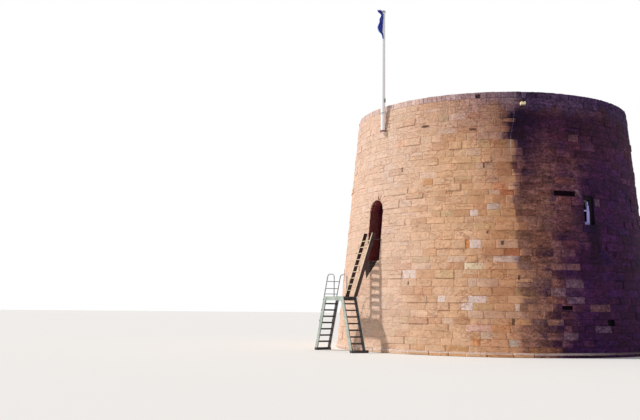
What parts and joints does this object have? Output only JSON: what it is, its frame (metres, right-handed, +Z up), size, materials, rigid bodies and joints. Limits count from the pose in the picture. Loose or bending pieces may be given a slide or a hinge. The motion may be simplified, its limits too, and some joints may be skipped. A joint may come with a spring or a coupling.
{
  "type": "martello tower",
  "caption": "Round battered sandstone gun tower with a high round-headed doorway, a trestle and ladder up to it, and a flagpole.",
  "frame": {"origin": "centre of the round tower at ground level", "axes": "+Z up along the tower's axis, the doorway faces -Y, the pictured window is towards +X"},
  "size_m": [13.66, 14.88, 14.12],
  "materials": {
    "sandstone": "matt",
    "paving_stone": "matt",
    "timber": "matt",
    "maroon_timber": "satin",
    "white_timber": "satin",
    "window_glass": "glossy",
    "iron": "matt",
    "pole_paint": "satin",
    "flag_cloth": "matt",
    "grey_metal": "matt"
  },
  "bodies": {
    "root": {"footing": "sandstone", "ground_floor": "paving_stone", "lower_wall_square": "sandstone", "lower_wall_diagonal": "sandstone", "upper_wall_diagonal": "sandstone", "upper_wall_back": "sandstone", "upper_wall_front": "sandstone", "upper_wall_right": "sandstone", "upper_wall_left": "sandstone", "door_jambs": "sandstone", "door_arch": "sandstone", "wall_over_door": "sandstone", "door_sill": "sandstone", "first_floor": "timber", "floor_beams": "timber", "vault": "sandstone", "parapet_square": "sandstone", "parapet_diagonal": "sandstone", "firing_step": "sandstone", "coping_square": "sandstone", "coping_diagonal": "sandstone", "door_frame": "maroon_timber", "door_leaf": "maroon_timber", "window_sashes": "white_timber", "window_glass": "window_glass", "spout": "sandstone", "iron_hook": "iron", "flagpole": "pole_paint", "pole_brackets": "iron", "pole_cap": "iron", "flag": "flag_cloth", "cleat": "iron", "near_steps": "grey_metal", "far_steps": "grey_metal", "trestle_deck": "grey_metal", "guard_rails": "grey_metal", "upper_ladder": "grey_metal", "ladder_stays": "grey_metal"}
  },
  "joints": []
}
